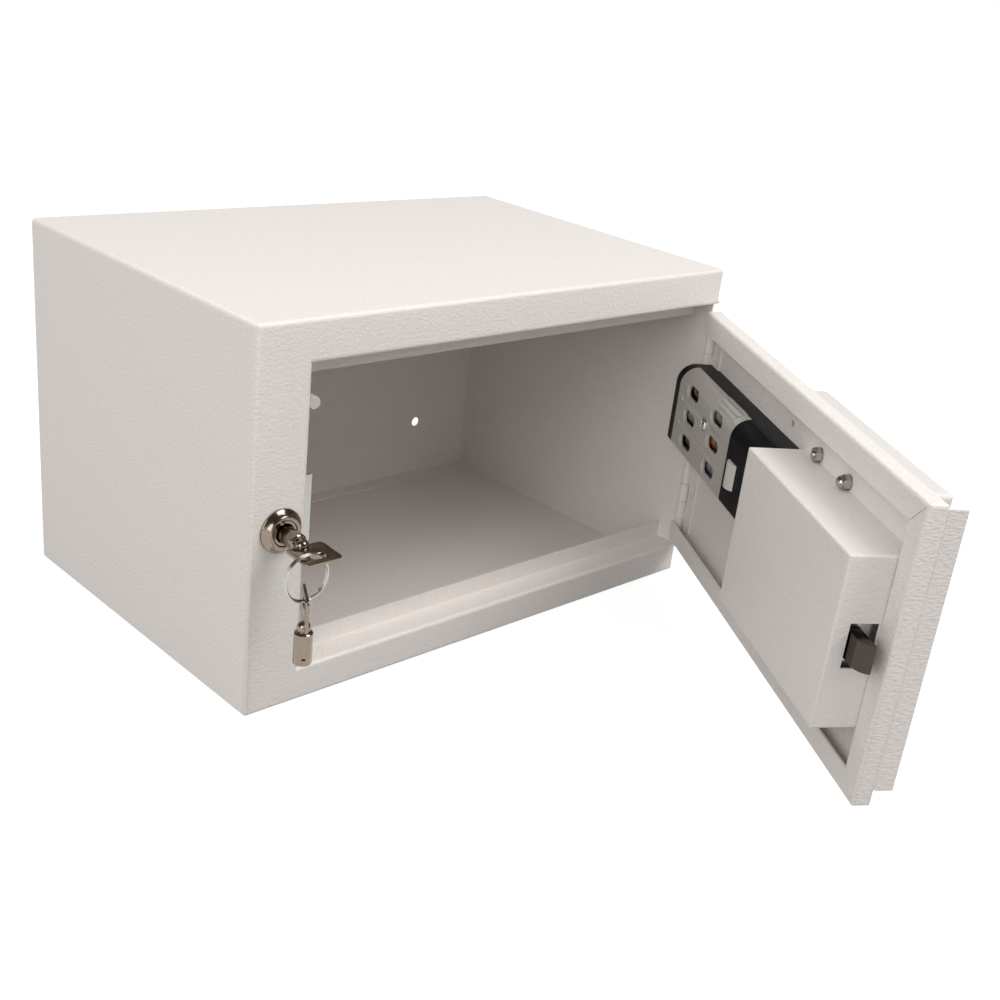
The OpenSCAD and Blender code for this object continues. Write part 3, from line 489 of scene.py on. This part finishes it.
def key_parts(shoulder, towards, across):
    """A tubular key. shoulder is the middle of the bow's end, towards points along
    the barrel and across along the bow's width. The barrel is a lathe shape with
    a domed root, a neck and a thin rim, and a small square lug stands on it; the
    bow is a plate with a rolled edge and a pressed border."""
    towards, across = np.asarray(towards, float), np.asarray(across, float)
    thick = np.cross(towards, across)
    tube = [(HOLLOW_R * sin(a), 0.9 - HOLLOW_R * cos(a)) for a in np.linspace(0, pi / 2, 10)]
    tube += [(HOLLOW_R, 1.7), (3.3, 1.95), (3.1, 2.1), (3.1, 2.85), (3.9, 2.95), (4.15, 3.1),
             (KEY_R, 3.65), (KEY_R, KEY_LONG - 0.4), (KEY_R - 0.15, KEY_LONG - 0.1),
             (KEY_R - 0.4, KEY_LONG), (HOLLOW_R + 0.2, KEY_LONG), (HOLLOW_R, KEY_LONG - 0.2),
             (HOLLOW_R, 5), (0, 5)]
    parts = [turned(tube, shoulder, towards, 64)]
    lug = np.array([(x, y, z) for x in (-KEY_R - 0.6, 0.5 - KEY_R) for y in (-1, 1)
                    for z in (KEY_LONG - 3.6, KEY_LONG - 1.6)])
    lug_faces = [(0, 1, 3, 2), (4, 6, 7, 5), (0, 4, 5, 1), (2, 3, 7, 6), (0, 2, 6, 4),
                 (1, 5, 7, 3)]
    parts.append((shoulder + lug @ np.stack([across, thick, towards]), lug_faces))
    outer, inner = bow_outline()
    face = BOW_T / 2
    # the bow's upper half, from the slot's wall over the pressed border to the edge;
    # the lower half is the same way back
    upper = [(inner, 0.0, 0.5), (inner, 0.25, face), (outer, -1.9, face),
             (outer, -1.7, face - 0.11), (outer, -1.35, face - 0.11), (outer, -1.1, face),
             (outer, -0.3, face), (outer, -0.1, face - 0.1), (outer, 0.0, face - 0.3)]
    lower = [(shape, grow, -height) for shape, grow, height in upper[::-1]]
    loops = []
    for shape, grow, height in upper + lower:
        middle = np.array([0.0, shape[:, 1].mean()])
        size = np.abs(shape - middle).max(0)
        flat = middle + (shape - middle) * (1 + grow / size)
        loops.append(np.concatenate([flat, np.full((len(flat), 1), height)], 1))
    ring = np.stack(loops)
    along = ring[..., 1:2] - BOW_LONG / 2
    points = (shoulder + ring[..., :1] * across + along * towards
              + ring[..., 2:] * thick).reshape(-1, 3)
    parts.append((points, ring_faces(len(loops), len(outer), closed_rows=True)))
    return parts


# the key hangs 3 degrees in its keyway, and its bow ends this far from its pivot
SAG, KEY_OUT = radians(3), 17.2
KEY_IN = np.array([0.0, cos(SAG), sin(SAG)])
KEY_PIVOT = LOCK_AT + np.array([0.0, -1.6, 0.0])
# the ring's middle, its wire's middle line and thickness, half the step between
# its two turns of wire, and the spare key's room under it
RING_AT = np.array([-156.5, -138.26, 89.28])
RING_R, RING_WIRE, RING_STEP, SPARE_ROOM = 11.9, 1.25, 0.6, 0.3
SPARE_TURN = radians(60.7)
spare_top = RING_AT[2] - RING_R + RING_WIRE / 2 + SPARE_ROOM + SLOT_RIM
piece("turning_key", "lock_core", FINISH["nickel"],
      key_parts(KEY_PIVOT - KEY_OUT * KEY_IN, KEY_IN, (1, 0, 0)), ["lock_key"])
piece("hanging_key", "spare", FINISH["nickel"],
      key_parts(np.array([RING_AT[0], RING_AT[1], spare_top - BOW_LONG]), -UP,
                (cos(SPARE_TURN), sin(SPARE_TURN), 0)), ["spare_key"])


def split_ring():
    """Two turns of round wire side by side. The wire's middle line goes round the
    ring twice, steps over from one side to the other half way, and its two ends
    stop short of that step."""
    t = np.linspace(0.075 * pi, 3.925 * pi, 241)
    side = RING_STEP * np.clip((t - 2 * pi) / (0.07 * pi), -1, 1)
    angle = t - radians(62)
    level, through = np.array([1.0, 0, 0]), np.array([0, -1.0, 0])
    out = np.cos(angle)[:, None] * level + np.sin(angle)[:, None] * UP
    path = RING_AT + RING_R * out + side[:, None] * through
    # a hair thinner than the CAD's wire, so that the ring stays inside it
    section = wire_section(RING_WIRE / 2 - 0.005, 16)
    return swept(path, section, (out, np.tile(through, (len(t), 1))))


piece("split_key_ring", "ring", FINISH["zinc_steel"], [split_ring()], ["key_ring"])


# fasteners


def hexagon(across_flats, tall):
    """The radius of a hexagon at each angle, cut back by the round chamfer at its
    two ends: flats stay at half the width, and the corners reach to the cone."""
    def outline(angle, height, radius):
        turn = (angle + pi / 6) % (pi / 3) - pi / 6
        flat = across_flats / 2 / np.cos(turn)
        end = np.minimum(height, tall - height)
        return np.minimum(flat, across_flats / 2 * 1.03 + end * 1.7)
    return outline


def thread(radius, pitch, depth):
    """A screw thread: the radius falls and rises by its depth once a pitch along
    the axis, and the pattern moves on by one pitch in each turn."""
    def outline(angle, height, full):
        phase = (height / pitch - angle / (2 * pi)) % 1
        return np.where(full > radius - 0.01, radius - depth * np.abs(2 * phase - 1), full)
    return outline


def nut_parts(u, z, v0, height, across, bore):
    """A hexagon nut on the door, chamfered at both ends."""
    h = np.array([0, 0.25, 0.6, height / 2, height - 0.6, height - 0.25, height])
    profile = [(bore, 0), (across, 0)] + [(across, a) for a in h[1:-1]]
    profile += [(across, height), (bore + 0.3, height), (bore, height - 0.3), (bore, 0)]
    return turned(profile, door_point(u, v0, z), INWARD, 96, hexagon(across, height))


def stud_parts(u, z, v0, v1, radius):
    """A threaded stud with a chamfered end, as rings about 0.09 mm apart."""
    n = int((v1 - v0) / 0.09)
    profile = [(0, 0)] + [(radius, a) for a in np.linspace(0, v1 - v0 - 0.4, n)]
    profile += [(radius - 0.35, v1 - v0), (0, v1 - v0)]
    return turned(profile, door_point(u, v0, z), INWARD, 40,
                  thread(radius, pitch=0.7, depth=0.3))


# the studs' places on the door, the skin's inner face and the washers' thickness
STUDS = [(u, z) for u in (172.8, 209.0) for z in (70.0, 150.5)]
SKIN, WASHER_T = -3.15, 0.8
# the studs' radius and their two ends, and the nuts' height, width across flats and bore
STUD_R, STUD_ENDS = 2.0, (-20.0, SKIN + 5.0)
NUT_H, FLATS, NUT_BORE = 3.2, 7.0, 2.02
piece("threaded_studs", "door", FINISH["zinc_steel"],
      [stud_parts(u, z, *STUD_ENDS, STUD_R) for u, z in STUDS], ["door_studs"])
piece("chamfered_nuts", "door", FINISH["zinc_steel"],
      [nut_parts(u, z, SKIN + WASHER_T, NUT_H, FLATS, NUT_BORE) for u, z in STUDS[:3]],
      ["hex_nuts"])

DOME_R = 3.2


def cap_outline(angle, height, radius):
    """The hexagon's flats under the dome, and the dome's own radius above them."""
    flats = hexagon(FLATS, NUT_H)(angle, height, radius)
    return np.where(radius > DOME_R + 0.2, flats, radius)


def cap_parts():
    """The domed nut: a hexagon nut's outline with a quarter circle over it."""
    dome = [(DOME_R * cos(a), NUT_H + DOME_R * sin(a))
            for a in np.linspace(0.05, pi / 2, 14)[:-1]]
    profile = [(NUT_BORE, 0)] + [(FLATS, h) for h in (0, 0.25, 0.6, 1.6, 2.6, 2.95, NUT_H)]
    profile += [(DOME_R, NUT_H)] + dome + [(0, NUT_H + DOME_R)]
    u, z = STUDS[3]
    return turned(profile, door_point(u, SKIN + WASHER_T, z), INWARD, 96, cap_outline)


piece("domed_cap_nut", "door", FINISH["zinc_steel"], [cap_parts()], ["cap_nut"])


def pan_screw(u, z, v0, head_r, head_h, shank_r, shank_l):
    """A pan-head screw: a low dome with a cross recess pressed into it, drawn as a
    dip in the dome's height along two lines that cross. The recess is about a third
    of the head's radius wide, and its arms reach a little past half of it."""
    a = np.arange(48) * 2 * pi / 48
    share = np.array([0, 0.12, 0.2, 0.3, 0.42, 0.55, 0.7, 0.84, 0.94, 1.0])
    r, angle = np.meshgrid(share * head_r, a, indexing="ij")
    x, y = r * np.cos(angle), r * np.sin(angle)
    dome_h = head_h * np.sqrt(np.maximum(0, 1 - (r / head_r) ** 3))
    near = np.minimum(np.abs(x), np.abs(y))
    reach = np.maximum(np.abs(x), np.abs(y)) < head_r * 0.58
    cut = np.clip((head_r * 0.16 - near) / (head_r * 0.08), 0, 1) * reach
    h = dome_h - cut * head_h * 0.6
    top = (door_point(u, v0, z) + x[..., None] * ALONG + y[..., None] * UP
           + h[..., None] * INWARD).reshape(-1, 3)
    under = turned([(head_r, 0), (shank_r, 0), (shank_r, -shank_l), (0, -shank_l)],
                   door_point(u, v0, z), INWARD, 48)
    return [(top, ring_faces(len(share), 48)), under]


# the battery lid's face and the thickness of the cover's tab
PACK_FACE, TAB_T = 18.95, 1
piece("lid_screw", "door", FINISH["zinc_steel"],
      pan_screw(61.5, 125.2, PACK_FACE - 0.5, head_r=3.6, head_h=2.1, shank_r=1.2,
                shank_l=3.6), ["pack_screw"])
piece("cover_pan_screws", "door", FINISH["zinc_steel"],
      [part for u in (174.0, 264.0)
       for part in pan_screw(u, 53.0, SKIN + TAB_T, head_r=2.8, head_h=2.0, shank_r=1.5,
                             shank_l=4.5)], ["cover_screws"])


# the spring's fixed end in the door's measures, its length and the bolt's travel
SPRING_END = door_point(197.0, 16.65, 102.0)
SPRING_LONG, BOLT_TRAVEL = 32.6, 12.0
# its turns, their middle radius and its wire's radius
TURNS, COIL_R, COIL_WIRE_R = 9, 2.9, 0.43


def latch_spring():
    """The spring round the bolt's guide rod: a point that goes nine times round the
    rod's line and moves on by an even pitch, with a nearly flat turn at each end."""
    t = np.linspace(0, 1, TURNS * 24 + 1)
    start, flat_turn = 0.45, 1.45
    rise = np.interp(t, [0, 1 / TURNS, 1 - 1 / TURNS, 1],
                     [start, flat_turn, SPRING_LONG - flat_turn, SPRING_LONG - start])
    angle = 2 * TURNS * pi * t
    out = np.cos(angle)[:, None] * UP + np.sin(angle)[:, None] * INWARD
    path = SPRING_END + COIL_R * out + rise[:, None] * ALONG
    section = wire_section(COIL_WIRE_R, 8)
    return swept(path, section, (out, np.tile(ALONG, (len(t), 1))))


spring = piece("coiled_latch_spring", "door", FINISH["spring_steel"], [latch_spring()],
               ["latch_spring"])
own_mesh(spring)


# keypad marks


def mark_mesh(name, text, size):
    """A plain number in Blender's own letter shapes, a hair thick, as one mesh."""
    curve = bpy.data.curves.new(name, "FONT")
    curve.body, curve.size = text, size
    curve.align_x, curve.align_y = "CENTER", "CENTER"
    curve.extrude = 0.00003
    holder = bpy.data.objects.new(name + "_letters", curve)
    bpy.context.scene.collection.objects.link(holder)
    bpy.context.view_layer.update()
    mesh = bpy.data.meshes.new_from_object(holder.evaluated_get(
        bpy.context.evaluated_depsgraph_get()))
    bpy.data.objects.remove(holder)
    return mesh


# flat off-white print
PALE_PRINT = moulded("pad_printed_white_ink", "#D6D6D2", "#DEDEDA", 0.5, 0.5, 0.002)
# the keys' outer faces, the first column and row, their pitch, and the marks' height
KEY_FACE, FIRST_U, FIRST_Z, KEY_PITCH, MARK_H = -24.35, 172.9, 136.0, 18, 8.8
for n, mark in enumerate(["1", "2", "3", "4", "5", "6", "7", "8", "9", None, "0", None]):
    u = FIRST_U + KEY_PITCH * (2 - n % 3)
    z = FIRST_Z - KEY_PITCH * (n // 3)
    at = door_point(u, KEY_FACE - 0.01, z) * MM
    body = "pad_key_%d" % (n + 1)
    name = "mark_%d" % (n + 1)
    if mark:
        mesh = mark_mesh(name, mark, MARK_H * MM)
        mesh.transform(placed(at, -ALONG, UP, -INWARD))
        dress(name, mesh, body, PALE_PRINT, (), ROUND_PRINT)
    else:
        # the two keys beside the nought carry a ring and a dot
        inner, outer = (1.7, 2.6) if n == 9 else (0.0, 1.5)
        ring = [(inner, 0), (outer, 0), (outer, 0.05), (inner, 0.05), (inner, 0)]
        piece(name, body, PALE_PRINT, [turned(ring, at / MM, -INWARD, 40)])


# stage


# where the camera stood, and its lens in pixels of the 1000 by 1000 photograph
STOOD_AT = np.array([-494.2, -588.3, 370.0])
FOCAL_PIXELS, PICTURE_PIXELS = 1331.42, 1000


def photo_camera():
    """The photograph's own view, found by fitting the cabinet's corners to it: where
    the camera stood, which way it looked and leaned, and its lens on a 36 mm
    square picture, with the small shift of the photograph's crop."""
    turn, rise, lean = -0.82556, 0.42388, 0.12943
    fwd = np.array([-sin(turn) * cos(rise), cos(turn) * cos(rise), -sin(rise)])
    right = np.cross(fwd, UP)
    right /= np.linalg.norm(right)
    down = np.cross(fwd, right)
    c, s = cos(lean), sin(lean)
    x, y = c * right - s * down, s * right + c * down
    lens = bpy.data.cameras.new("photo_camera")
    lens.sensor_width, lens.lens = 36, FOCAL_PIXELS * 36 / PICTURE_PIXELS
    lens.shift_x, lens.shift_y = -0.03107, 0.04587
    lens.clip_start, lens.clip_end = 0.05, 200
    camera = bpy.data.objects.new("photo_camera", lens)
    camera.matrix_world = placed(STOOD_AT * MM, x, -y, -fwd)
    bpy.context.scene.collection.objects.link(camera)
    bpy.context.scene.camera = camera


def soft_box(name, at, aim, side, power):
    """A square white lamp, side metres wide, that stands at one point and faces
    another; power is in watts."""
    lamp = bpy.data.lights.new(name, "AREA")
    lamp.shape, lamp.size, lamp.energy = "SQUARE", side, power
    made = bpy.data.objects.new(name, lamp)
    made.matrix_world = placed(at, *basis(np.asarray(at, float) - np.asarray(aim, float)))
    bpy.context.scene.collection.objects.link(made)


# half the floor's side, and how far it lies under the cabinet, so that no two
# faces share one place
FLOOR_HALF, FLOOR_DROP = 20.0, 0.0002


def pale_stage():
    """A level floor and a plain surround. The camera sees both white, and the floor
    still takes the object's shadow. Polished metal finds the same white floor under
    a sky that is white at the horizon and dark overhead, like a room's. Other rays
    find a mid-grey floor under an even sky that is a little brighter overhead."""
    mesh = bpy.data.meshes.new("studio_floor")
    s = FLOOR_HALF
    mesh.from_pydata([(-s, -s, 0), (s, -s, 0), (s, s, 0), (-s, s, 0)], [], [(0, 1, 2, 3)])
    made, tree, _ = new_finish("matt_white_floor")
    ray = add(tree, "LightPath")
    seen = add(tree, "Math", {0: ray.outputs["Is Camera Ray"],
                              1: ray.outputs["Is Glossy Ray"]}, operation="MAXIMUM")
    matt = add(tree, "BsdfDiffuse", {"Color": hex_colour("#F4F4F4")})
    glow = add(tree, "Emission", {"Color": hex_colour("#FFFFFF"), "Strength": 1.24})
    white = add(tree, "MixShader", {0: 0.7, 1: matt.outputs[0], 2: glow.outputs[0]})
    grey = add(tree, "BsdfDiffuse", {"Color": hex_colour("#707070")})
    mix = add(tree, "MixShader", {0: seen.outputs[0], 1: grey.outputs[0], 2: white.outputs[0]})
    add(tree, "OutputMaterial", {"Surface": mix.outputs[0]})
    mesh.materials.append(made)
    floor = bpy.data.objects.new("studio_floor", mesh)
    floor.location.z = -FLOOR_DROP
    bpy.context.scene.collection.objects.link(floor)
    world = bpy.context.scene.world or bpy.data.worlds.new("studio")
    bpy.context.scene.world = world
    world.use_nodes = True
    tree = world.node_tree
    tree.nodes.clear()
    ray = add(tree, "LightPath")
    towards = add(tree, "TexCoord").outputs["Generated"]
    rise = add(tree, "SeparateXYZ", {"Vector": towards}).outputs[2]
    sky = spread(tree, rise, 0, 1, 0.45, 0.95)
    mirror = spread(tree, rise, 0.05, 0.25, 0.95, 0.08)
    seen = add(tree, "Math", {0: ray.outputs["Is Camera Ray"],
                              1: ray.outputs["Is Transmission Ray"]}, operation="MAXIMUM")
    level = add(tree, "Mix", {0: ray.outputs["Is Glossy Ray"], 2: sky, 3: mirror}).outputs[0]
    level = add(tree, "Mix", {0: seen.outputs[0], 2: level, 3: 1.0}).outputs[0]
    back = add(tree, "Background", {"Color": hex_colour("#FFFFFF"), "Strength": level})
    add(tree, "OutputWorld", {"Surface": back.outputs[0]})


photo_camera()
pale_stage()
soft_box("key_panel", at=(0.5, -0.95, 1.3), aim=(0, 0, 0.1), side=0.8, power=11)
soft_box("side_panel", at=(-1.5, -0.5, 0.7), aim=(0, 0, 0.1), side=0.9, power=8)
bpy.context.scene.view_settings.view_transform = "Standard"
